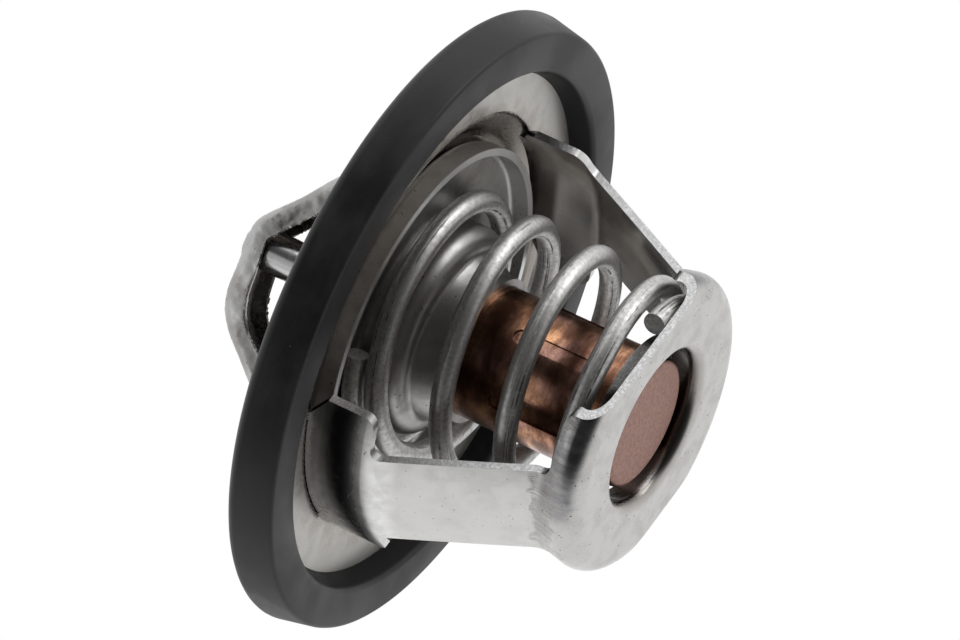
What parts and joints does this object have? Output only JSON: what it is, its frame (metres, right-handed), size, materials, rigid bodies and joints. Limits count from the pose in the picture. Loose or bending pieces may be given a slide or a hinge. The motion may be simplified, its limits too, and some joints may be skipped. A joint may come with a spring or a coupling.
{
  "type": "engine thermostat",
  "caption": "Round wax-type coolant thermostat: rubber sealing ring on a steel flange plate, spring-loaded valve disc on a copper capsule, and a pressed bridge on each side.",
  "frame": {"origin": "on the valve axis, in the plane of the seal ring's lower face, which is clamped on the engine side", "axes": "+Z along the valve axis towards the radiator side, where the piston's bridge stands; +X towards one leg of the lower bridge"},
  "size_m": [0.0688, 0.0688, 0.0498],
  "materials": {
    "seal_rubber": "matt",
    "pressed_steel": "bright",
    "spring_steel": "drawn",
    "copper": "worn",
    "guide_brass": "turned",
    "boot_rubber": "matt",
    "wax": "matt",
    "piston_steel": "polished"
  },
  "bodies": {
    "frame": {"seal_ring": "seal_rubber", "flange_plate": "pressed_steel", "upper_bridge": "pressed_steel", "lower_bridge": "pressed_steel", "piston": "piston_steel", "main_spring": "spring_steel"},
    "capsule": {"valve_disc": "pressed_steel", "wax_cup": "copper", "guide_body": "guide_brass", "rubber_boot": "boot_rubber", "wax_charge": "wax"}
  },
  "joints": [
    {"name": "valve_slide", "type": "slide", "parent": "frame", "child": "capsule", "axis": [0, 0, -1], "range_m": [0, 0.008], "stiffness_N_per_m": 6000, "springref_m": -0.012, "deforming": ["main_spring"]}
  ]
}
